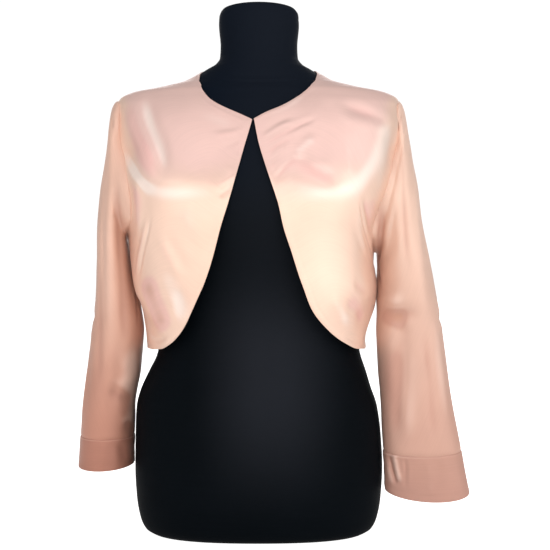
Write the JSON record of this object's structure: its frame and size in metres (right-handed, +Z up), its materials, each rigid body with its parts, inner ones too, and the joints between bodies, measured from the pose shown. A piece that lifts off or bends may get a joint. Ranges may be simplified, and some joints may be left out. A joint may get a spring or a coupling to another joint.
{
  "type": "bolero jacket on a dress form",
  "caption": "Cropped open-front satin bolero jacket with a round collarless neck, curved cut-away fronts and long cuffed sleeves, worn on a limbless dress form.",
  "frame": {"origin": "under the middle of the whole part, on the surface that the form stands on", "axes": "+Z up, the jacket's open front faces -Y, the wearer's left side is at +X"},
  "size_m": [0.5779, 0.2769, 0.776],
  "materials": {
    "form_jersey": "matt black jersey stretched over the form",
    "jacket_satin": "soft blush satin with a low sheen",
    "cuff_satin": "the same blush satin, turned back double at the cuffs"
  },
  "bodies": {
    "root": {"dress_form": "form_jersey", "back": "jacket_satin", "right_front": "jacket_satin", "left_front": "jacket_satin", "right_sleeve": "jacket_satin", "left_sleeve": "jacket_satin", "right_cuff": "cuff_satin", "left_cuff": "cuff_satin"}
  },
  "joints": []
}
